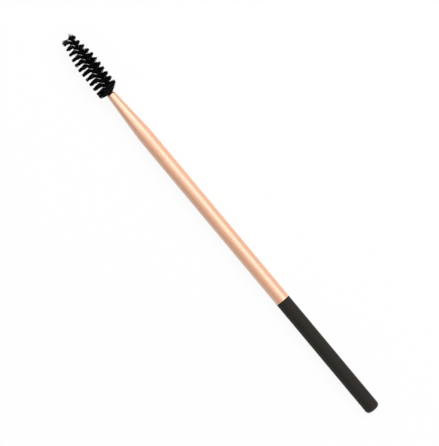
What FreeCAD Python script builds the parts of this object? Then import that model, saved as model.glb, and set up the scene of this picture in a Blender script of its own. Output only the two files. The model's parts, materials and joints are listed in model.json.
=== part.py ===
# Eyebrow brush: a slim turned handle with a long drawn metal tube over its front part, and a
# twisted-in-wire bristle head that leans a little to one side.
# All lengths are millimetres and all angles degrees.
# The brush lies at rest on the plane z = 0, as it does on a table: +X runs from the butt of the
# handle to the tip of the head, +Z is up, and the butt and the base of the head touch the plane.

import FreeCAD, Part
import Sketcher
import math
import os

Vector = FreeCAD.Vector

# Driving dimensions, each written once. The name is the cell's alias.
DIMENSIONS = [
    ("body_diameter", 5.25),        # black end and metal tube, flush with each other
    ("grip_length", 48.6),          # black end, from the butt to the seam
    ("butt_round", 1.35),           # round corner of the butt
    ("tube_length", 73.5),          # straight part of the metal tube
    ("cone_length", 18.2),          # swaged nose of the tube
    ("cone_blend_radius", 70.0),    # soft start of the swaged nose
    ("tube_wall", 0.38),            # wall of the straight tube
    ("nose_wall", 0.68),            # wall at the mouth, thickened by the swaging
    ("lip_round", 0.3),             # round outer edge of the mouth
    ("rim_break", 0.08),            # broken outer edge of the tube's rear rim
    ("seam_gap", 0.02),             # tube rim to the shoulder of the handle
    ("tube_fit", 0.05),             # glue gap between the handle's tenon and the tube
    ("nose_room", 5.0),             # free length of the nose in front of the tenon
    ("wire_diameter", 0.65),        # steel wire before twisting
    ("strand_gap", 0.14),           # slot between the two strands, which grips the bristles
    ("twist_pitch", 4.06),          # one full turn of the twisted wire
    ("stem_depth", 13.0),           # wire inside the nose, down to its hairpin bend
    ("stem_fit", 0.05),             # glue gap between the stem and its bore
    ("mouth_clearance", 0.1),       # gap between the wire and the mouth
    ("wire_reach", 23.6),           # wire outside the mouth
    ("head_lean", 1.74),            # sideways bend of the wire at the mouth
    ("lean_stretch", 1.5),          # length of wire over which it bends
    ("rest_station", 0.9),          # where the head rests on the table, from the mouth
    ("bristle_start", 0.3),         # first tuft, from the mouth
    ("bristle_end", 23.2),          # last tuft, from the mouth
    ("sideways_station", 12.7),     # a place where the tufts point exactly sideways
    ("head_diameter", 7.68),        # across the bristles over the even part of the head
    ("even_reach", 12.2),           # end of the even part, from the mouth
    ("tip_diameter", 4.74),         # across the bristles at the tip
    ("fan_width", 0.8),             # width of a tuft along the wire, at its ends
    ("push_lean", 13.0),            # forward lean of the first tufts, pushed by the lip of the mouth
    ("push_bias", 0.5),             # share by which they lean more on the side the wire bends to
    ("push_start", 0.7),            # from the mouth to where that lean starts to fade
    ("push_end", 2.4),              # from the mouth to where it is gone
    ("tip_lean", 10.0),             # forward lean of the last tuft, which nothing holds back
    ("tip_spread", 1.2),            # stretch in front of the last tuft over which that lean grows
    ("tufts_per_turn", 24),         # tufts laid across the wire in one turn
    ("tuft_split", 2.0),            # open angle between neighbouring tufts
    ("tuft_clearance", 0.025),      # tuft to wire, and tuft to tuft where they cross the wire
]

WIRE_SIDES = 8          # flats around the wire's section
STEPS_PER_TURN = 16     # sections of the wire in one turn
BEND_STEPS = 8          # sections round the hairpin bend
SEWING = 1e-5           # facets whose edges lie this close are one skin

doc = FreeCAD.newDocument("EyebrowBrush")
sizes = doc.addObject("Spreadsheet::Sheet", "Sizes")
for row, (name, value) in enumerate(DIMENSIONS, start=1):
    cell = "B%d" % row
    sizes.set("A%d" % row, name)
    sizes.set(cell, str(value))
    sizes.setAlias(cell, name)
doc.recompute()


def size(name):
    """The value of one driving dimension."""
    return float(sizes.get(name))


# Places along the brush, as expressions of the driving dimensions.
BODY_RADIUS = "Sizes.body_diameter / 2"
BORE_RADIUS = "(Sizes.body_diameter / 2 - Sizes.tube_wall)"
WIRE_RADIUS = "(Sizes.wire_diameter + Sizes.strand_gap / 2)"
MOUTH_RADIUS = "(%s + Sizes.mouth_clearance)" % WIRE_RADIUS
NOSE_RADIUS = "(%s + Sizes.nose_wall)" % MOUTH_RADIUS
SEAM = "Sizes.grip_length"
TUBE_REAR = "(Sizes.grip_length + Sizes.seam_gap)"
CONE_START = "(Sizes.grip_length + Sizes.tube_length)"
MOUTH = "(Sizes.grip_length + Sizes.tube_length + Sizes.cone_length)"
TENON_RADIUS = "(%s - Sizes.tube_fit)" % BORE_RADIUS
TENON_END = "(%s - Sizes.nose_room)" % MOUTH
TENON_END_RADIUS = "(%s + (%s - %s) * Sizes.nose_room / Sizes.cone_length - Sizes.tube_fit)" % (
    MOUTH_RADIUS, BORE_RADIUS, MOUTH_RADIUS)
STEM_BORE_RADIUS = "(%s + Sizes.stem_fit)" % WIRE_RADIUS
STEM_BORE_END = "(%s - Sizes.stem_depth - Sizes.wire_diameter)" % MOUTH

mouth = size("grip_length") + size("tube_length") + size("cone_length")
REST_ANGLE = "asin((Sizes.head_diameter - Sizes.body_diameter) / 2 / (%s + Sizes.rest_station))" % MOUTH
WHOLE_LENGTH = "(%s + Sizes.wire_reach)" % MOUTH


def lay_down(sub_part):
    """Tips a sub-part up at the head, by the angle at which the brush rests on its butt and its bristles."""
    sub_part.Placement = FreeCAD.Placement(Vector(0, 0, 0), FreeCAD.Rotation(Vector(0, -1, 0), 1))
    sub_part.setExpression("Placement.Rotation.Angle", REST_ANGLE)
    sub_part.setExpression("Placement.Base.x", "-%s / 2" % WHOLE_LENGTH)
    sub_part.setExpression("Placement.Base.z", "%s - Sizes.butt_round * sin(%s)" % (BODY_RADIUS, REST_ANGLE))


def origin_plane(body, role):
    """One of a body's own origin planes."""
    return next(feature for feature in body.Origin.OriginFeatures if feature.Role == role)


def new_body(label):
    body = doc.addObject("PartDesign::Body", label)
    body.Label = label
    return body


def half_outline(body, name, corners):
    """A closed half section on the body's XY plane, with the axis of the brush as its base.

    Each corner is (name, place along the axis, distance from the axis), both as expressions.
    A distance of None lies on the axis, and a place of None at the butt.
    """
    sketch = body.newObject("Sketcher::SketchObject", name)
    sketch.AttachmentSupport = (origin_plane(body, "XY_Plane"), [""])
    sketch.MapMode = "FlatFace"
    guess = [(evaluate(along), evaluate(away)) for _, along, away in corners]
    count = len(corners)
    for index in range(count):
        start = Vector(*guess[index], 0)
        end = Vector(*guess[(index + 1) % count], 0)
        sketch.addGeometry(Part.LineSegment(start, end), False)
    for index in range(count):
        sketch.addConstraint(Sketcher.Constraint("Coincident", index, 2, (index + 1) % count, 1))
    for index, (corner, along, away) in enumerate(corners):
        pin_corner(sketch, index, corner, "DistanceX", -2, along)
        pin_corner(sketch, index, corner, "DistanceY", -1, away)
    return sketch


def pin_corner(sketch, index, corner, kind, axis, expression):
    """Fixes one coordinate of a corner, on an axis of the sketch or at a bound distance from it."""
    if expression is None:
        sketch.addConstraint(Sketcher.Constraint("PointOnObject", index, 1, axis))
        return
    number = sketch.addConstraint(Sketcher.Constraint(kind, -1, 1, index, 1, evaluate(expression)))
    name = "%s_%s" % (corner, "along" if kind == "DistanceX" else "away")
    sketch.renameConstraint(number, name)
    sketch.setExpression("Constraints.%s" % name, expression)


def soften_corner(sketch, name, index, radius):
    """Eases the corner at the start of a side with an arc, and keeps the corner's own place."""
    sketch.fillet(index, 1, evaluate(radius), True, True)
    kinds = [item.TypeId for item in sketch.Geometry]
    arc = kinds.index("Part::GeomArcOfCircle")
    number = sketch.addConstraint(Sketcher.Constraint("Radius", arc, evaluate(radius)))
    sketch.renameConstraint(number, name)
    sketch.setExpression("Constraints.%s" % name, radius)


def evaluate(expression):
    """The present value of an expression of the driving dimensions."""
    return 0.0 if expression is None else float(sizes.evalExpression(expression.replace("Sizes.", "")))


def turned(body, name, sketch):
    """A full turn of a half section about the axis of the brush."""
    solid = body.newObject("PartDesign::Revolution", name)
    solid.Profile = sketch
    solid.ReferenceAxis = (sketch, ["H_Axis"])
    solid.Angle = 360
    doc.recompute()
    return solid


def ring_edge(feature, along, away):
    """The name of the round edge of a feature that lies at a place along the axis, at a radius."""
    for number, edge in enumerate(feature.Shape.Edges, start=1):
        curve = edge.Curve
        if curve.TypeId != "Part::GeomCircle":
            continue
        if abs(curve.Center.x - along) < 1e-4 and abs(curve.Radius - away) < 1e-4:
            return "Edge%d" % number
    raise ValueError("no round edge at %.3f, radius %.3f" % (along, away))


def rounded(body, name, base, edge, radius):
    fillet = body.newObject("PartDesign::Fillet", name)
    fillet.Base = (base, [edge])
    fillet.setExpression("Radius", radius)
    doc.recompute()
    return fillet


# Ferrule: one drawn aluminium tube, swaged at the front to a slim nose that lets the wire out.
ferrule = new_body("ferrule")
tube_section = half_outline(ferrule, "TubeSection", [
    ("RearOuter", TUBE_REAR, BODY_RADIUS),
    ("ConeStart", CONE_START, BODY_RADIUS),
    ("Nose", MOUTH, NOSE_RADIUS),
    ("Mouth", MOUTH, MOUTH_RADIUS),
    ("ConeInside", CONE_START, BORE_RADIUS),
    ("RearInner", TUBE_REAR, BORE_RADIUS),
])
soften_corner(tube_section, "ConeBlend", 1, "Sizes.cone_blend_radius")
tube = turned(ferrule, "DrawnTube", tube_section)
lip = rounded(ferrule, "MouthLip", tube, ring_edge(tube, mouth, evaluate(NOSE_RADIUS)), "Sizes.lip_round")
rim = ferrule.newObject("PartDesign::Chamfer", "RearRim")
rim.Base = (lip, [ring_edge(lip, evaluate(TUBE_REAR), evaluate(BODY_RADIUS))])
rim.setExpression("Size", "Sizes.rim_break")
doc.recompute()
lay_down(ferrule)

# Handle: one turned piece. The lacquered end is what shows. The long tenon fills the tube and
# tapers with its nose, and a blind bore in the end of the tenon holds the stem of the wire.
handle = new_body("handle")
handle_section = half_outline(handle, "TurnedSection", [
    ("ButtCentre", None, None),
    ("Butt", None, BODY_RADIUS),
    ("Shoulder", SEAM, BODY_RADIUS),
    ("TenonRoot", SEAM, TENON_RADIUS),
    ("TaperStart", CONE_START, TENON_RADIUS),
    ("TenonEnd", TENON_END, TENON_END_RADIUS),
    ("EndCentre", TENON_END, None),
])
dowel = turned(handle, "TurnedDowel", handle_section)
butt = rounded(handle, "ButtRound", dowel, ring_edge(dowel, 0, evaluate(BODY_RADIUS)), "Sizes.butt_round")
bore_section = half_outline(handle, "BoreSection", [
    ("BoreEnd", STEM_BORE_END, None),
    ("BoreBottom", STEM_BORE_END, STEM_BORE_RADIUS),
    ("BoreMouth", TENON_END, STEM_BORE_RADIUS),
    ("BoreOpen", TENON_END, None),
])
bore = handle.newObject("PartDesign::Groove", "StemBore")
bore.Profile = bore_section
bore.ReferenceAxis = (bore_section, ["H_Axis"])
bore.Angle = 360
doc.recompute()
bored_away = math.pi * evaluate(STEM_BORE_RADIUS) ** 2 * (evaluate(TENON_END) - evaluate(STEM_BORE_END))
if abs(butt.Shape.Volume - bore.Shape.Volume - bored_away) > 0.01 * bored_away:
    raise ValueError("the stem bore cuts %.3f mm3 and not %.3f" % (
        butt.Shape.Volume - bore.Shape.Volume, bored_away))
lay_down(handle)


def on_wire(station, away, turn):
    """A point beside the wire, with the directions outward and forward there.

    It is given by its distance from the mouth, its distance from the wire's centre line, and its
    turn round that line in radians, from +Y towards +Z.

    The centre line is straight inside the nose, bends sideways over a short stretch up to the
    mouth, and is straight again beyond it.
    """
    lean = math.radians(size("head_lean"))
    stretch = size("lean_stretch")
    share = min(max((station + stretch) / stretch, 0.0), 1.0)
    angle = lean * share
    bend_radius = stretch / lean
    beyond = max(station, 0.0)
    before = min(station + stretch, 0.0)
    along = -stretch + before + bend_radius * math.sin(angle) + beyond * math.cos(angle)
    aside = -bend_radius * (1 - math.cos(angle)) - beyond * math.sin(angle)
    forward = Vector(math.cos(angle), -math.sin(angle), 0)
    left = Vector(math.sin(angle), math.cos(angle), 0)
    up = Vector(0, 0, 1)
    outward = left * math.cos(turn) + up * math.sin(turn)
    return Vector(mouth + along, aside, 0) + outward * away, outward, forward


def twist(station):
    """Direction in which the tufts point at a station. The wire is twisted to the left."""
    return -2 * math.pi * (station - size("sideways_station")) / size("twist_pitch")


def skin(rings):
    """A closed solid through rings of corners, all with the same number of corners.

    The skin is flat facets from ring to ring, and the first and last rings are closed by their
    middles.
    """
    sides = len(rings[0])
    points = [corner for ring in rings for corner in ring]
    facets = []
    for ring in range(len(rings) - 1):
        for side in range(sides):
            here, beside = ring * sides + side, ring * sides + (side + 1) % sides
            facets.append((here, beside, beside + sides))
            facets.append((here, beside + sides, here + sides))
    last = len(points) - sides
    for side in range(1, sides - 1):
        facets.append((0, side + 1, side))
        facets.append((last, last + side, last + side + 1))
    surface = Part.Shape()
    surface.makeShapeFromMesh((points, facets), SEWING)
    return Part.makeSolid(surface)


# Wire: one steel wire, folded at a hairpin bend and twisted on itself. The strands lie a quarter
# turn round from the tufts, and the slot between them grips the tufts.
strand_offset = (size("wire_diameter") + size("strand_gap")) / 2
stem_end = -size("stem_depth") + strand_offset


def strand_path():
    """Places along the whole wire, each a point and its outward side: down one strand, round the
    hairpin bend and up the other."""
    reach = size("wire_reach")
    steps = round((reach - stem_end) / size("twist_pitch") * STEPS_PER_TURN)
    stations = [reach + (stem_end - reach) * step / steps for step in range(steps + 1)]
    quarter = math.pi / 2
    down = [on_wire(station, strand_offset, twist(station) + quarter)[:2] for station in stations]
    up = [on_wire(station, strand_offset, twist(station) - quarter)[:2] for station in reversed(stations)]
    centre = (down[-1][0] + up[0][0]) / 2
    across = down[-1][1]
    back = Vector(-1, 0, 0)
    sideways = across.cross(back)
    swing = math.pi * strand_offset / size("twist_pitch")
    bend = []
    for step in range(1, BEND_STEPS):
        turn = math.pi * step / BEND_STEPS
        outward = across * math.cos(turn) + back * math.sin(turn)
        bend.append((centre + (outward + sideways * (swing * math.sin(2 * turn))) * strand_offset, outward))
    return down + bend + up


def wire_section(path, number):
    """The outline of the wire across its path at one place."""
    point, outward = path[number]
    forward = (path[min(number + 1, len(path) - 1)][0] - path[max(number - 1, 0)][0]).normalize()
    first = (outward - forward * outward.dot(forward)).normalize()
    second = forward.cross(first)
    radius = size("wire_diameter") / 2
    corners = []
    for side in range(WIRE_SIDES):
        turn = 2 * math.pi * side / WIRE_SIDES
        corners.append(point + (first * math.cos(turn) + second * math.sin(turn)) * radius)
    return corners


wire_path = strand_path()
wire_core = doc.addObject("Part::Feature", "wire_core")
wire_core.Label = "wire_core"
wire_core.Shape = skin([wire_section(wire_path, number) for number in range(len(wire_path))])
lay_down(wire_core)


# Bristles: flat tufts of filament laid across the wire one after another, each gripped at its
# middle by the slot between the strands and fanned out at both ends. Together they make the two
# starts of the spiral.
def head_radius(station):
    """Radius of the bristle head: even up to a station, and then eased down to the tip."""
    even, end = size("even_reach"), size("bristle_end")
    share = min(max((station - even) / (end - even), 0.0), 1.0)
    drop = (size("head_diameter") - size("tip_diameter")) / 2
    return size("head_diameter") / 2 - drop * (1 - math.cos(math.pi * share)) / 2


def tuft_lean(station, outward):
    """Forward lean of one end of a tuft: the lip pushes the first tufts, and the last stand free."""
    start, end = size("push_start"), size("push_end")
    share = min(max((station - start) / (end - start), 0.0), 1.0)
    bias = 1 - size("push_bias") * outward.y
    pushed = size("push_lean") * bias * (1 + math.cos(math.pi * share)) / 2
    free = max(1 - (size("bristle_end") - station) / size("tip_spread"), 0.0)
    return math.radians(pushed + size("tip_lean") * free)


def tuft(station):
    """One tuft: a gripped middle, and a fan of filament at each end."""
    middle, out, forward = on_wire(station, 0, twist(station))
    side = forward.cross(out)
    grip_reach = size("wire_diameter") + size("strand_gap")
    grip_half = size("strand_gap") / 2 - size("tuft_clearance")
    layer_half = (size("twist_pitch") / size("tufts_per_turn") - size("tuft_clearance")) / 2
    wedge = math.tan(math.radians(360 / size("tufts_per_turn") - size("tuft_split")) / 2)
    full_reach = size("head_diameter") / 2
    spread = (full_reach * wedge - grip_half) / (full_reach - grip_reach)
    fan_half = size("fan_width") / 2

    def section(end, rim):
        """The tuft's outline where it leaves the wire, or at its rim, which follows the head."""
        slope = math.tan(tuft_lean(station, out * end))
        corners = []
        for lift in (-1, 1):
            half = fan_half if rim else layer_half
            away = head_radius(station + lift * half) if rim else grip_reach
            ahead = lift * half + slope * (away - grip_reach)
            width = grip_half + spread * (away - grip_reach)
            for swing in (-lift, lift):
                corners.append(middle + out * (end * away) + forward * ahead + side * (swing * width))
        return corners

    return skin([section(-1, True), section(-1, False), section(1, False), section(1, True)])


tuft_step = size("twist_pitch") / size("tufts_per_turn")
first_tuft = math.ceil((size("bristle_start") - size("sideways_station")) / tuft_step)
last_tuft = math.floor((size("bristle_end") - size("sideways_station")) / tuft_step)
tufts = [tuft(size("sideways_station") + number * tuft_step) for number in range(first_tuft, last_tuft + 1)]
bristles = doc.addObject("Part::Feature", "bristles")
bristles.Label = "bristles"
bristles.Shape = Part.makeCompound(tufts)
lay_down(bristles)

doc.recompute()
for item in doc.Objects:
    if "Invalid" in item.State or "Error" in item.State:
        raise ValueError("%s could not be built" % item.Name)
sub_parts = [ferrule, handle, wire_core, bristles]
for sub_part in sub_parts:
    if sub_part.Shape.isNull() or not sub_part.Shape.isValid():
        raise ValueError("%s has no sound shape" % sub_part.Label)

os.makedirs("parts", exist_ok=True)
for sub_part in sub_parts:
    sub_part.Shape.exportStep("parts/%s.step" % sub_part.Label)
    print("%s: %d solids, %.2f mm3" % (sub_part.Label, len(sub_part.Shape.Solids), sub_part.Shape.Volume))
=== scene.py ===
# %% [markdown]
# # Eyebrow brush
# An eyebrow brush is a slim round handle, a long metal tube fitted over its front part, and a head
# of nylon bristles held in a twisted wire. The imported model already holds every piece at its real
# size. This lesson dresses it: it turns a finer tube and handle, twists a smooth wire, lays the
# bristles one by one, and gives each its finish.

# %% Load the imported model
import bpy
import json
import math
import random
from mathutils import Matrix, Vector


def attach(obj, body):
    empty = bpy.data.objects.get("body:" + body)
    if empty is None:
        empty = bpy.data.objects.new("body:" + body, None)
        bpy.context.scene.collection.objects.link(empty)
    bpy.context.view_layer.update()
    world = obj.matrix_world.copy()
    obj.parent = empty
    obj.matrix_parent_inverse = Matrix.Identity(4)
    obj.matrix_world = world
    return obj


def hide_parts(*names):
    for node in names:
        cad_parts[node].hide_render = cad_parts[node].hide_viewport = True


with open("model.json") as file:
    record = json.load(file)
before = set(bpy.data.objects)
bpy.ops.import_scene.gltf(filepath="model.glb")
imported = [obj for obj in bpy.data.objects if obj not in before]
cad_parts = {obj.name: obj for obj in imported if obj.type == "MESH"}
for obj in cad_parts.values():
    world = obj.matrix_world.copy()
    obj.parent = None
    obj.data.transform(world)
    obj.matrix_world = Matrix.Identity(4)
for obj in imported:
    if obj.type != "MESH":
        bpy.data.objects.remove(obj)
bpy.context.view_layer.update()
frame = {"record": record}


# %% [markdown]
# ## Sizes
# These are the real brush's sizes in metres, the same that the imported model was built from. Only
# the round of the lip is a little fuller here, as the picture shows it. The tube and the black end
# are one flush cylinder as far as the tube's nose, which is swaged down to a small mouth. The sizes
# could be typed where each piece is made, but pieces that meet share them, so each is named once.

# %% Sizes along the handle
MM = 0.001
BODY_RADIUS = 2.625 * MM
GRIP_LENGTH = 48.6 * MM
BUTT_ROUND = 1.35 * MM
TUBE_LENGTH = 73.5 * MM
CONE_LENGTH = 18.2 * MM
CONE_BLEND_RADIUS = 70 * MM
TUBE_WALL = 0.38 * MM
MOUTH_RADIUS = 0.82 * MM
NOSE_RADIUS = 1.5 * MM
LIP_ROUND = 0.5 * MM
RIM_BREAK = 0.08 * MM
SEAM_GAP = 0.02 * MM
TUBE_FIT = 0.05 * MM
NOSE_ROOM = 5.0 * MM
STEM_BORE_RADIUS = 0.77 * MM
STEM_BORE_DEPTH = 8.65 * MM
CONE_START = GRIP_LENGTH + TUBE_LENGTH
MOUTH = CONE_START + CONE_LENGTH
print("mouth of the tube at", round(MOUTH / MM, 1), "mm from the butt")

# %% [markdown]
# ## How the brush lies
# The brush lies on its butt and on the base of its bristles, so its axis tips up by half a degree.
# It could be shaped where it lies, but it is easier to shape each piece along a level X axis, with
# the butt at zero, and to lay the finished piece down once. The record's grip mount states the
# axis exactly, so the place comes from there.

# %% Lay a finished piece down
grip = next(mount for mount in frame["record"]["mounts"] if mount["name"] == "grip")
toward_tip = -Vector(grip["axis"]).normalized()
grip_middle = BUTT_ROUND + grip["dims"]["length_mm"] * MM / 2
butt_centre = Vector(grip["pos_m"]) - toward_tip * grip_middle
rest_angle = math.atan2(toward_tip.z, toward_tip.x)
LEVEL_TO_REST = Matrix.Translation(butt_centre) @ Matrix.Rotation(-rest_angle, 4, "Y")
print("axis tips up by", round(math.degrees(rest_angle), 3), "degrees")


def select_only(piece):
    bpy.ops.object.select_all(action="DESELECT")
    piece.select_set(True)
    bpy.context.view_layer.objects.active = piece


def lay_down(piece):
    """Turns a level piece to the way the brush lies, and keeps that in its mesh."""
    select_only(piece)
    piece.matrix_world = LEVEL_TO_REST
    bpy.ops.object.transform_apply(location=True, rotation=True, scale=True)


# %% [markdown]
# ## Turned pieces
# The tube and the handle are both round about one axis. A lathe shape could come from a curve with
# a Screw modifier, but drawing a ring along the axis is what a hand modeller does in edit mode:
# extrude the ring to its next place, then scale it to the radius there. Rounds are worked out as
# arcs, so that each outline has only the points that its shape needs.

# %% Work out a round
ARC_STEPS = 8
QUARTER_TURN = math.pi / 2


def arc(centre, radius, start, end):
    """Points (along, away) on an arc, whose angles run from straight out towards the tip."""
    turns = [start + (end - start) * step / ARC_STEPS for step in range(ARC_STEPS + 1)]
    along, away = centre
    return [(along + radius * math.sin(turn), away + radius * math.cos(turn)) for turn in turns]


print("a round has", ARC_STEPS, "steps")

# %% Draw a ring along the axis
SIDES = 96
FACING_X = (0, QUARTER_TURN, 0)
MERGE_DISTANCE = 1e-6
TURNED_SMOOTH = math.radians(25)


def draw_rings(name, outline, through):
    """A round piece drawn through (along, away) places. A piece with a hole through it is closed
    on itself, and one without has a flat face at each end."""
    bpy.ops.object.select_all(action="DESELECT")
    along, away = outline[0]
    bpy.ops.mesh.primitive_circle_add(vertices=SIDES, radius=away, location=(along, 0, 0),
                                      rotation=FACING_X)
    piece = bpy.context.object
    piece.name = name
    bpy.ops.object.transform_apply(location=True, rotation=True, scale=True)
    bpy.ops.object.mode_set(mode="EDIT")
    bpy.ops.mesh.select_all(action="SELECT")
    if not through:
        bpy.ops.mesh.edge_face_add()
        bpy.ops.mesh.select_mode(type="EDGE")
        bpy.ops.mesh.region_to_loop()
    for next_along, next_away in outline[1:]:
        bpy.ops.mesh.extrude_edges_move(TRANSFORM_OT_translate={"value": (next_along - along, 0, 0)})
        bpy.ops.transform.resize(value=(1, next_away / away, next_away / away),
                                 center_override=(next_along, 0, 0))
        along, away = next_along, next_away
    if not through:
        bpy.ops.mesh.edge_face_add()
    bpy.ops.mesh.select_all(action="SELECT")
    bpy.ops.mesh.remove_doubles(threshold=MERGE_DISTANCE)
    bpy.ops.mesh.normals_make_consistent(inside=False)
    bpy.ops.object.mode_set(mode="OBJECT")
    bpy.ops.object.shade_smooth_by_angle(angle=TURNED_SMOOTH)
    print(name, "has", len(piece.data.polygons), "faces")
    return piece


# %% [markdown]
# ## The tube
# The tube is drawn aluminium. Its nose is swaged, which squeezes it to a slim cone and thickens its
# wall, so the cone starts softly and ends in a small rounded lip. The rear rim is only broken, and
# meets the black end with no step. A Solidify modifier could give the wall, but not one that
# thickens towards the mouth, so the outline runs along the outside and back along the bore.

# %% Draw the tube
cone_slope = math.atan2(BODY_RADIUS - NOSE_RADIUS, CONE_LENGTH)
blend_start = CONE_START - CONE_BLEND_RADIUS * math.tan(cone_slope / 2)
blend = arc((blend_start, BODY_RADIUS - CONE_BLEND_RADIUS), CONE_BLEND_RADIUS, 0, cone_slope)
lip_along = MOUTH - LIP_ROUND
lip_away = NOSE_RADIUS + LIP_ROUND * math.tan(cone_slope) - LIP_ROUND / math.cos(cone_slope)
lip = arc((lip_along, lip_away), LIP_ROUND, cone_slope, QUARTER_TURN)
bore_radius = BODY_RADIUS - TUBE_WALL
tube_rear = GRIP_LENGTH + SEAM_GAP
rim = [
    (tube_rear, bore_radius),
    (tube_rear, BODY_RADIUS - RIM_BREAK),
    (tube_rear + RIM_BREAK, BODY_RADIUS),
]
bore = [(MOUTH, MOUTH_RADIUS), (CONE_START, bore_radius), (tube_rear, bore_radius)]
tube_outline = rim + blend + lip + bore
satin_tube = draw_rings("satin_tube", tube_outline, through=True)
lay_down(satin_tube)
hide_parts("ferrule")
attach(satin_tube, "root")

# %% [markdown]
# ## The handle
# The handle is turned from one piece. Its end shows, black and matte, with a rounded butt. The rest
# is a long tenon inside the tube that tapers with the nose and is bored for the stem of the wire. A
# Boolean could cut the bore, but it is round about the same axis, so the outline simply turns back
# into the tenon for it.

# %% Turn the handle
butt = arc((BUTT_ROUND, BODY_RADIUS - BUTT_ROUND), BUTT_ROUND, -QUARTER_TURN, 0)
tenon_radius = bore_radius - TUBE_FIT
tenon_end = MOUTH - NOSE_ROOM
tenon_end_radius = MOUTH_RADIUS + (bore_radius - MOUTH_RADIUS) * NOSE_ROOM / CONE_LENGTH - TUBE_FIT
handle_outline = butt + [
    (GRIP_LENGTH, BODY_RADIUS),
    (GRIP_LENGTH, tenon_radius),
    (CONE_START, tenon_radius),
    (tenon_end, tenon_end_radius),
    (tenon_end, STEM_BORE_RADIUS),
    (tenon_end - STEM_BORE_DEPTH, STEM_BORE_RADIUS),
]
lacquered_handle = draw_rings("lacquered_handle", handle_outline, through=False)
lay_down(lacquered_handle)
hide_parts("handle")
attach(lacquered_handle, "root")

# %% [markdown]
# ## The line of the wire
# The wire leaves the mouth with a slight sideways bend, so the head leans away from the handle's
# axis. It is twisted to the left, a full turn in about four millimetres. The head could be made
# straight and bent afterwards, but a bend stretches what stands on its outside. So everything on
# the wire is placed by its distance from the mouth, called its station, by its distance from the
# wire's centre line, and by its turn round that line.

# %% Place things on the wire
WIRE_RADIUS = 0.325 * MM
STRAND_GAP = 0.14 * MM
TWIST_PITCH = 4.06 * MM
WIRE_REACH = 23.6 * MM
STEM_DEPTH = 13.0 * MM
HEAD_LEAN = math.radians(1.74)
LEAN_STRETCH = 1.5 * MM
SIDEWAYS_STATION = 12.7 * MM


def share(value):
    """A value held between 0 and 1."""
    return min(max(value, 0), 1)


def wire_line(station):
    """The centre of the wire, and its forward and left directions, at a distance from the mouth."""
    angle = HEAD_LEAN * share((station + LEAN_STRETCH) / LEAN_STRETCH)
    bend_radius = LEAN_STRETCH / HEAD_LEAN
    beyond, before = max(station, 0), min(station + LEAN_STRETCH, 0)
    along = MOUTH - LEAN_STRETCH + before + bend_radius * math.sin(angle) + beyond * math.cos(angle)
    aside = -bend_radius * (1 - math.cos(angle)) - beyond * math.sin(angle)
    forward = Vector((math.cos(angle), -math.sin(angle), 0))
    left = Vector((math.sin(angle), math.cos(angle), 0))
    return Vector((along, aside, 0)), forward, left


def twist(station):
    """Turn of the bristles round the wire, from +Y towards +Z."""
    return -2 * math.pi * (station - SIDEWAYS_STATION) / TWIST_PITCH


def outward(station, turn):
    """The direction away from the wire's centre line at a turn round it."""
    _, _, left = wire_line(station)
    return left * math.cos(turn) + Vector((0, 0, 1)) * math.sin(turn)


print("the wire makes", round(WIRE_REACH / TWIST_PITCH, 1), "turns beyond the mouth")

# %% [markdown]
# ## The twisted wire
# One steel wire is folded in a hairpin and twisted on itself. A Screw modifier could twist a ring,
# but it can't turn back round the hairpin. So a path runs down one strand, round the bend and up
# the other, gets the wire's thickness, and becomes a mesh.

# %% Find the path of the wire
STRAND_OFFSET = WIRE_RADIUS + STRAND_GAP / 2
POINTS_PER_TURN = 24
BEND_POINTS = 12
stem_end = STRAND_OFFSET - STEM_DEPTH


def strand(side):
    """Points along one strand from its end at the tip, a quarter turn to one side of the bristles."""
    count = round((WIRE_REACH - stem_end) / TWIST_PITCH * POINTS_PER_TURN)
    points = []
    for step in range(count + 1):
        station = WIRE_REACH + (stem_end - WIRE_REACH) * step / count
        centre, _, _ = wire_line(station)
        points.append(centre + outward(station, twist(station) + side * QUARTER_TURN) * STRAND_OFFSET)
    return points


def hairpin():
    """Points round the bend that joins the two strands inside the handle."""
    centre, forward, _ = wire_line(stem_end)
    across = outward(stem_end, twist(stem_end) + QUARTER_TURN)
    sideways = across.cross(-forward)
    swing = math.pi * STRAND_OFFSET / TWIST_PITCH
    points = []
    for step in range(1, BEND_POINTS):
        turn = math.pi * step / BEND_POINTS
        twisted = sideways * (swing * math.sin(2 * turn))
        place = across * math.cos(turn) - forward * math.sin(turn) + twisted
        points.append(centre + place * STRAND_OFFSET)
    return points


route = strand(1) + hairpin() + strand(-1)[::-1]
print("the path of the wire has", len(route), "points")

# %% Draw the wire
SPLINE_ORDER = 3
WIRE_ROUND_STEPS = 4
WIRE_SMOOTH = math.radians(40)
bpy.ops.object.select_all(action="DESELECT")
bpy.ops.curve.primitive_nurbs_path_add(location=(0, 0, 0))
twisted_wire = bpy.context.object
twisted_wire.name = "twisted_wire"
spline = twisted_wire.data.splines[0]
spline.points.add(len(route) - len(spline.points))
for point, place in zip(spline.points, route):
    point.co = (*place, 1)
spline.order_u = SPLINE_ORDER
spline.use_endpoint_u = True
spline.resolution_u = 1
twisted_wire.data.bevel_depth = WIRE_RADIUS
twisted_wire.data.bevel_resolution = WIRE_ROUND_STEPS
twisted_wire.data.use_fill_caps = True
bpy.ops.object.convert(target="MESH")
bpy.ops.object.shade_smooth_by_angle(angle=WIRE_SMOOTH)
lay_down(twisted_wire)
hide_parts("wire_core")
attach(twisted_wire, "root")
print("twisted_wire has", len(twisted_wire.data.polygons), "faces")

# %% [markdown]
# ## One filament
# The bristles are straight nylon filaments laid across the wire before it is twisted, so each one
# is pinched between the strands and sticks out on both sides, and each side leans its own way. A
# hair system could grow them, but it can't pinch them in the wire. So one side of a filament is
# modelled at unit reach along X: a five-sided rod, cut into lengths, thinned at its end and given a
# slight curl. A few patterns with different curls are enough for the whole head.

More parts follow.
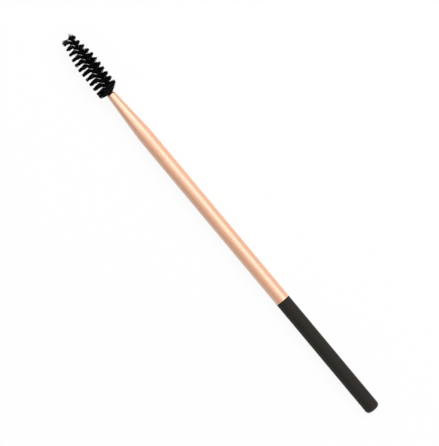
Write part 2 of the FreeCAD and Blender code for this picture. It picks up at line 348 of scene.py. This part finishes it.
# %% Model the filament patterns
FILAMENT_RADIUS = 0.062 * MM
FILAMENT_SIDES = 5
HEAD_RADIUS = 3.84 * MM
CUTS = (0.35, 0.72)
NEAR_WIRE = 0.01
NEAR_END = 0.99
END_THINNING = 0.6
PATTERNS = 8
CURL = 0.012
FILAMENT_SMOOTH = math.radians(80)
random.seed(11)


def select_beyond(piece, cut):
    """Selects the points of a pattern further out than a place along X."""
    bpy.ops.mesh.select_all(action="DESELECT")
    bpy.ops.object.mode_set(mode="OBJECT")
    for vertex in piece.data.vertices:
        vertex.select = vertex.co.x > cut
    bpy.ops.object.mode_set(mode="EDIT")


def model_pattern(name):
    bpy.ops.object.select_all(action="DESELECT")
    bpy.ops.mesh.primitive_cylinder_add(vertices=FILAMENT_SIDES, radius=FILAMENT_RADIUS / HEAD_RADIUS,
                                        depth=1, location=(0.5, 0, 0), rotation=FACING_X)
    piece = bpy.context.object
    piece.name = name
    bpy.ops.object.transform_apply(location=True, rotation=True, scale=True)
    bpy.ops.object.mode_set(mode="EDIT")
    bpy.ops.mesh.select_mode(type="VERT")
    for cut in CUTS:
        bpy.ops.mesh.select_all(action="SELECT")
        bpy.ops.mesh.bisect(plane_co=(cut, 0, 0), plane_no=(1, 0, 0))
    sideways, ahead = random.uniform(-CURL, CURL), random.uniform(-CURL, CURL)
    for cut in (NEAR_WIRE, *CUTS):
        select_beyond(piece, cut)
        bpy.ops.transform.translate(value=(0, sideways, ahead))
    select_beyond(piece, NEAR_END)
    bpy.ops.transform.resize(value=(1, END_THINNING, END_THINNING))
    bpy.ops.object.mode_set(mode="OBJECT")
    bpy.ops.object.shade_smooth_by_angle(angle=FILAMENT_SMOOTH)
    return piece


patterns = [model_pattern("pattern_%d" % number) for number in range(PATTERNS)]
print("a pattern has", len(patterns[0].data.polygons), "faces")

# %% [markdown]
# ## How the filaments are trimmed and lean
# The twist turns each filament a little further than the last, and together they make a spiral with
# two starts. Their ends are trimmed to a shape that is even over the first half of the head and
# then eases down to the tip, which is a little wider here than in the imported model, as the picture
# shows it. Each would stand straight out from the wire, but three things make it lean. The lip of
# the tube pushes the first ones forward, more on the right of the head, -Y, where the wire bends
# to. All along that side, the ones above and below a sideways one lean in towards it, so that each
# row ends in a point. The last ones have no neighbour to hold them, and spread out a little past
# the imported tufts. A simulation could find these leans, but one rule for each, with a named angle,
# is quick to set against the picture.

# %% Trim and lean
BRISTLE_START = -0.4 * MM
BRISTLE_END = 23.5 * MM
EVEN_REACH = 13.5 * MM
TIP_RADIUS = 2.55 * MM
PUSHED_UNTIL = 0.7 * MM
FREE_FROM = 2.4 * MM
PUSHED_LEAN = math.radians(23)
RIGHT_PUSH = 0.35
GATHER_LEAN = math.radians(14)
GATHER_FADE = 1.5
SPREAD = 1.4 * MM
SPREAD_LEAN = math.radians(15)
SPREAD_RANGE = (-1.1, 1.9)


def head_radius(station):
    """The trimmed head is even at first, and then eases down to its tip."""
    eased = share((station - EVEN_REACH) / (BRISTLE_END - EVEN_REACH))
    return HEAD_RADIUS - (HEAD_RADIUS - TIP_RADIUS) * (1 - math.cos(math.pi * eased)) / 2


def lean_forward(station, out):
    """How far one side of a filament leans towards the tip, for the direction it stands out in."""
    free = share((station - PUSHED_UNTIL) / (FREE_FROM - PUSHED_UNTIL))
    pushed = PUSHED_LEAN * (1 + math.cos(math.pi * free)) / 2 * (1 - RIGHT_PUSH * out.y)
    spread = share(1 - (BRISTLE_END - station) / SPREAD) * random.uniform(*SPREAD_RANGE)
    gathered = GATHER_LEAN * out.z * share(1 - GATHER_FADE * out.z ** 2) * min(out.y, 0)
    return pushed + gathered + spread * SPREAD_LEAN


print("the head is", round(2 * head_radius(0) / MM, 2), "mm across at the mouth")
print("and", round(2 * head_radius(BRISTLE_END) / MM, 2), "mm across at its tip")

# %% [markdown]
# ## The head of bristles
# No two filaments of a real head stand or end quite alike. The ones at the mouth are crowded and
# turn out of their row. On the left of the head, +Y, the others end in blunt, even teeth. On the
# right they are looser and end in points, and the more one leans out of its row, the shorter it
# is, which fills the gaps between the points. An Array modifier could lay them, but all alike, so
# each side is a copy of a pattern, placed by its own chance. What it gains or loses in reach is a
# share of the head's radius. Once joined, they are one piece.

# %% Lay one side of a filament
TURN_CHANCE = math.radians(2.2)
CROWDED_UNTIL = 0.5 * MM
CROWDED_TURN = math.radians(26)
LEAN_CHANCE = math.radians(5.2)
LOOSE_LEAN = 0.4
BLUNT_CHANCE = 1.5
STRAY_SHORTENING = 0.055
BLUNT_SHORTENING = 0.4
LOOSE_SHORTENING = 0.7
MOST_SHORTENING = 0.4
TRIM_RANGE = (1.0, 1.03)
RIGHT_REACH = 0.03


def lay_side(station, turn):
    """One side of a filament, from the wire outwards."""
    centre, forward, _ = wire_line(station)
    crowded = share(1 - station / CROWDED_UNTIL)
    out = outward(station, turn + random.gauss(0, TURN_CHANCE + crowded * CROWDED_TURN))
    blunt = out.y > 0 and station > FREE_FROM
    stray = random.uniform(-BLUNT_CHANCE, BLUNT_CHANCE) if blunt else random.gauss(0, 1)
    right_side = max(-out.y, 0)
    loose = right_side * min(station / FREE_FROM, 1)
    lean = lean_forward(station, out) + stray * LEAN_CHANCE * (1 + LOOSE_LEAN * loose)
    out = out * math.cos(lean) + forward * math.sin(lean)
    side = forward.cross(out).normalized()
    ahead = out.cross(side)
    shortening = STRAY_SHORTENING * (BLUNT_SHORTENING if blunt else 1 + LOOSE_SHORTENING * loose)
    shortened = min(shortening * stray ** 2, MOST_SHORTENING)
    trimmed = random.uniform(*TRIM_RANGE) + RIGHT_REACH * right_side - shortened
    reach = head_radius(station) / math.cos(lean) * trimmed
    place = Matrix((out * reach, side * HEAD_RADIUS, ahead * HEAD_RADIUS)).transposed().to_4x4()
    mesh = random.choice(patterns).data.copy()
    mesh.transform(Matrix.Translation(centre) @ place)
    filament = bpy.data.objects.new("filament", mesh)
    bpy.context.collection.objects.link(filament)
    return filament


# %% Lay the filaments
FILAMENTS = 2430
filaments = []
for number in range(FILAMENTS):
    station = BRISTLE_START + (BRISTLE_END - BRISTLE_START) * (number + random.random()) / FILAMENTS
    for half_turn in (0, math.pi):
        filaments.append(lay_side(station, twist(station) + half_turn))
bpy.ops.object.select_all(action="DESELECT")
for filament in filaments:
    filament.select_set(True)
bpy.context.view_layer.objects.active = filaments[0]
bpy.ops.object.join()
nylon_filaments = bpy.context.object
nylon_filaments.name = "nylon_filaments"
for pattern in patterns:
    bpy.data.objects.remove(pattern)
lay_down(nylon_filaments)
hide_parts("bristles")
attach(nylon_filaments, "root")
print("nylon_filaments has", len(nylon_filaments.data.polygons), "faces")

# %% [markdown]
# ## A small language for finishes
# Each finish is a network of shader nodes. Written node by node it is long and hard to read, so one
# class wraps a socket and lets its maths be written as Python expressions, and one method adds any
# other node with its settings and values.

# %% Wrap a socket
class Signal:
    """A number that changes over a surface, with maths that adds its own nodes."""

    def __init__(self, finish, socket):
        self.finish = finish
        self.socket = socket

    def maths(self, operation, other, swapped=False):
        first, second = (other, self) if swapped else (self, other)
        return self.finish.add("ShaderNodeMath", {"operation": operation}, {0: first, 1: second})

    def __add__(self, other):
        return self.maths("ADD", other)

    def __radd__(self, other):
        return self.maths("ADD", other, swapped=True)

    def __sub__(self, other):
        return self.maths("SUBTRACT", other)

    def __rsub__(self, other):
        return self.maths("SUBTRACT", other, swapped=True)

    def __mul__(self, other):
        return self.maths("MULTIPLY", other)

    def __rmul__(self, other):
        return self.maths("MULTIPLY", other, swapped=True)

    def or_more(self, other):
        return self.maths("MAXIMUM", other)


# %% Build a finish
MIX_FIRST, MIX_SECOND, MIX_RESULT = 6, 7, 2


class Finish:
    """A material under construction."""

    def __init__(self, name):
        self.material = bpy.data.materials.new(name)
        self.material.use_nodes = True
        self.tree = self.material.node_tree
        self.tree.nodes.clear()

    def add(self, kind, settings=None, values=None, output=0):
        """Adds a node, sets it up, and gives the signal of one of its outputs, if it has any."""
        node = self.tree.nodes.new(kind)
        for name, value in (settings or {}).items():
            setattr(node, name, value)
        for name, value in (values or {}).items():
            if isinstance(value, Signal):
                self.tree.links.new(value.socket, node.inputs[name])
            else:
                node.inputs[name].default_value = value
        return Signal(self, node.outputs[output]) if node.outputs else None

    def noise(self, along, across):
        """A noise with so many spots in a metre along the brush, and so many across it."""
        place = self.add("ShaderNodeTexCoord", output="Object")
        per_metre = (along, across, across)
        spots = self.add("ShaderNodeMapping", values={"Vector": place, "Scale": per_metre})
        return self.add("ShaderNodeTexNoise", values={"Vector": spots, "Scale": 1.0})

    def toward(self, start, end):
        """0 at one place along the level brush and 1 at another, with a soft step between."""
        place = self.add("ShaderNodeTexCoord", output="Object")
        along = self.add("ShaderNodeSeparateXYZ", values={0: place})
        first, last = [(LEVEL_TO_REST @ Vector((level, 0, 0))).x for level in (start, end)]
        return self.add("ShaderNodeMapRange", {"interpolation_type": "SMOOTHSTEP"}, {
            "Value": along, "From Min": first, "From Max": last})

    def blend(self, amount, first, second):
        """A colour between two colours. A Mix node numbers its colour sockets apart from the rest."""
        values = {0: amount, MIX_FIRST: first, MIX_SECOND: second}
        return self.add("ShaderNodeMix", {"data_type": "RGBA"}, values, output=MIX_RESULT)

    def end_with(self, shader):
        """Ends the network with a shader."""
        self.add("ShaderNodeOutputMaterial", values={"Surface": shader})

    def surface(self, values):
        """Ends the network in a plain surface."""
        self.end_with(self.add("ShaderNodeBsdfPrincipled", values=values))

    def dress(self, piece):
        piece.data.materials.clear()
        piece.data.materials.append(self.material)
        print(self.material.name, "has", len(self.tree.nodes), "nodes")


# %% [markdown]
# ## Rose gold satin
# The tube is anodised to a rose gold with a satin face. All metal, it would be darker and more of a
# mirror than it is, so it is half metal, for a broad warm sheen, under a clear layer that gives a
# pale one. It was drawn through a die, so its grain runs along it in fine lines, and a noise
# stretched along X varies the colour, the roughness and the clear layer with them. The dye takes
# less on the broken rear rim, which is paler. The lip is painted a dark brown, with less clear layer,
# as painted shade where the bristles shade it, and the swaged nose has a little more shine than the
# drawn part.

# %% Finish the tube
DEEP_ROSE = (0.74, 0.375, 0.21, 1)
BRIGHT_ROSE = (0.86, 0.465, 0.285, 1)
RIM_ROSE = (0.88, 0.66, 0.52, 1)
# Painted shade: a dark brown put on the lip where the bristles shade it.
LIP_SHADE_BROWN = (0.13, 0.045, 0.015, 1)
RIM_PALE_UNTIL = 0.35 * MM
LIP_SHADE_FROM = 0.48 * MM
LIP_SHADE_BY = 0.3 * MM
NOSE_SHINE_FROM = 2 * MM
NOSE_SHINE_BY = 8 * MM
rose = Finish("rose_gold_satin")
drawn_lines = rose.noise(along=60, across=4000)
fine_grain = rose.noise(along=9000, across=9000)
cloud = rose.noise(along=120, across=120)
pale_rim = rose.toward(tube_rear + RIM_PALE_UNTIL, tube_rear) * (fine_grain + 0.2)
# Mask of the painted shade on the lip, which also thins the clear layer there.
painted_lip_shade = rose.toward(MOUTH - LIP_SHADE_FROM, MOUTH - LIP_SHADE_BY)
swaged = rose.toward(CONE_START - NOSE_SHINE_FROM, CONE_START + NOSE_SHINE_BY)
rose_colour = rose.blend(cloud * 0.3 + drawn_lines * 0.7, DEEP_ROSE, BRIGHT_ROSE)
rose_colour = rose.blend(pale_rim, rose_colour, RIM_ROSE)
rose.surface({
    "Base Color": rose.blend(painted_lip_shade, rose_colour, LIP_SHADE_BROWN),
    "Metallic": 0.5 + swaged * 0.15,
    "Specular IOR Level": 0.1,
    "Roughness": 0.6 + (drawn_lines - 0.5) * 0.3 - pale_rim * 0.2 - swaged * 0.1,
    "Coat Weight": 0.95 + (drawn_lines - 0.5) * 0.3 - painted_lip_shade * 0.5,
    "Coat IOR": 2.2,
    "Coat Roughness": 0.35,
    "Normal": rose.add("ShaderNodeBump", values={
        "Height": drawn_lines * 0.6 + fine_grain * 0.4, "Strength": 0.25, "Distance": 0.02 * MM}),
})
rose.dress(satin_tube)

# %% [markdown]
# ## Black lacquer
# The end of the handle has a soft matte lacquer. One plain black would look like a hole in the
# picture, because real lacquer is never quite even: it has a faint skin like an orange's and small
# changes in how black and how dull it is. It runs thin on the round of the butt, where it is a
# little smoother and greyer.

# %% Finish the handle
DEEP_BLACK = (0.0100, 0.0083, 0.0062, 1)
SOFT_BLACK = (0.0205, 0.0172, 0.0130, 1)
BUTT_GREY = (0.040, 0.036, 0.031, 1)
THIN_UNTIL = BUTT_ROUND * 1.6
lacquer = Finish("matte_black_lacquer")
skin = lacquer.noise(along=2600, across=2600)
patches = lacquer.noise(along=260, across=520)
thin = lacquer.toward(THIN_UNTIL, 0) * (skin + 0.2)
black = lacquer.blend(skin * 0.6 + patches * 0.4, DEEP_BLACK, SOFT_BLACK)
lacquer.surface({
    "Base Color": lacquer.blend(thin * 0.5, black, BUTT_GREY),
    "Roughness": 0.62 + (patches - 0.5) * 0.16 - thin * 0.2,
    "Specular IOR Level": 0.12,
    "Sheen Weight": 0.06,
    "Sheen Roughness": 0.6,
    "Normal": lacquer.add("ShaderNodeBump", values={
        "Height": skin, "Strength": 0.5, "Distance": 0.03 * MM}),
})
lacquer.dress(lacquered_handle)

# %% [markdown]
# ## Drawn steel
# The wire is bright steel with fine marks from the die that it was pulled through. It glints where
# a strand crosses the light between two rows of bristles. The marks could be a bump, but they are
# finer than the picture can show, so they only vary the colour and the roughness.

# %% Finish the wire
DARK_STEEL = (0.26, 0.26, 0.265, 1)
PALE_STEEL = (0.38, 0.38, 0.385, 1)
steel = Finish("bright_steel_wire")
die_marks = steel.noise(along=5200, across=5200)
steel.surface({
    "Base Color": steel.blend(die_marks, DARK_STEEL, PALE_STEEL),
    "Metallic": 1.0,
    "Roughness": 0.2 + die_marks * 0.12,
})
steel.dress(twisted_wire)

# %% [markdown]
# ## Black nylon
# The filaments are dyed nylon, black with a slight sheen. Each could have a tint of its own, but
# they are one mesh now, so a noise makes some a little greyer than others, and the rows don't melt
# into one dark mass.

# %% Finish the bristles
NYLON_BLACK = (0.001, 0.001, 0.001, 1)
NYLON_GREY = (0.004, 0.004, 0.004, 1)
nylon = Finish("black_nylon")
tint = nylon.noise(along=1500, across=1500)
nylon.surface({
    "Base Color": nylon.blend(tint, NYLON_BLACK, NYLON_GREY),
    "Roughness": 0.4 + (tint - 0.5) * 0.2,
    "Specular IOR Level": 0.1,
})
nylon.dress(nylon_filaments)

# %% [markdown]
# ## The floor
# The brush lies on a plain white floor. Stronger light could make it white, but that would bleach
# the brush as well. So where the camera or a gloss sees the floor, it is mostly its own white,
# which keeps the picture's ground clean, and the rest of it still takes the brush's soft shadow.

# %% Make the floor
FLOOR_SIZE = 40
GROUND_SHARE = 0.92
bpy.ops.object.select_all(action="DESELECT")
bpy.ops.mesh.primitive_plane_add(size=FLOOR_SIZE, location=(0, 0, 0))
floor = bpy.context.object
floor.name = "floor"
ground = Finish("white_ground")
camera_ray = ground.add("ShaderNodeLightPath", output="Is Camera Ray")
glossy_ray = ground.add("ShaderNodeLightPath", output="Is Glossy Ray")
transmission_ray = ground.add("ShaderNodeLightPath", output="Is Transmission Ray")
seen = camera_ray.or_more(glossy_ray).or_more(transmission_ray)
matt = ground.add("ShaderNodeBsdfDiffuse", values={"Color": (0.8, 0.8, 0.8, 1)})
white = ground.add("ShaderNodeEmission", values={"Color": (1, 1, 1, 1), "Strength": 1.0})
ground.end_with(ground.add("ShaderNodeMixShader", values={0: seen * GROUND_SHARE, 1: matt, 2: white}))
ground.dress(floor)

# %% [markdown]
# ## The light
# The picture has soft studio light. One small lamp would draw thin, hard highlights, so an even
# pale world lights the brush all round, and a broad lamp towards the picture's upper right draws
# the long highlight on the tube. The nose tapers, so it faces that lamp less, and a smaller one
# beyond the head, on the left of the picture, brightens it.

# %% Light the brush
WORLD_STRENGTH = 0.44
world = bpy.data.worlds.new("pale_room")
bpy.context.scene.world = world
world.use_nodes = True
background = world.node_tree.nodes["Background"]
background.inputs["Color"].default_value = (1, 1, 1, 1)
background.inputs["Strength"].default_value = WORLD_STRENGTH


def add_lamp(name, place, swing, length, width, watts):
    """A soft lamp that faces the line of the brush, swung round the vertical by some degrees."""
    tilt = math.atan2(-place[1], place[2])
    bpy.ops.object.light_add(type="AREA", location=place, rotation=(tilt, 0, math.radians(swing)))
    lamp = bpy.context.object
    lamp.name = name
    lamp.data.shape = "RECTANGLE"
    lamp.data.size = length
    lamp.data.size_y = width
    lamp.data.energy = watts
    print(name, "gives", watts, "watts")


add_lamp("key_lamp", place=(0.04, -0.56, 0.85), swing=10, length=1.9, width=0.92, watts=13.2)
add_lamp("nose_lamp", place=(0.35, 0.28, 0.88), swing=0, length=0.25, width=0.6, watts=1.25)

# %% [markdown]
# ## Camera
# The picture is taken from straight above the middle of the brush, a little over half a metre up,
# with the head at the upper left. The camera could be aimed by a constraint, but then nothing would
# fix its turn. So its right and up directions are given: both are level, and turned round the
# vertical until the brush's X axis runs up to the left at fifty degrees. The height is the
# picture's longer side, which Blender fits to the sensor's width, so the lens follows from it.

# %% Set the camera
PICTURE_HEIGHT_PIXELS = 446
PIXEL = 0.3413 * MM
CAMERA_HEIGHT = 0.55
CAMERA_AIM = Vector((0.00078, -0.00033, 0.0031))
CAMERA_SEES_FROM = 0.01
CAMERA_SEES_TO = 10
brush_in_picture = Vector((-0.6403, 0.7681))
right = Vector((brush_in_picture.x, -brush_in_picture.y, 0))
up = Vector((brush_in_picture.y, brush_in_picture.x, 0))
bpy.ops.object.camera_add(location=CAMERA_AIM + Vector((0, 0, CAMERA_HEIGHT)))
camera = bpy.context.object
camera.rotation_euler = Matrix((right, up, Vector((0, 0, 1)))).transposed().to_euler()
camera.data.lens = camera.data.sensor_width * CAMERA_HEIGHT / (PICTURE_HEIGHT_PIXELS * PIXEL)
camera.data.clip_start = CAMERA_SEES_FROM
camera.data.clip_end = CAMERA_SEES_TO
bpy.context.scene.camera = camera
bpy.context.scene.view_settings.view_transform = "Standard"
print("lens", round(camera.data.lens, 1), "mm")
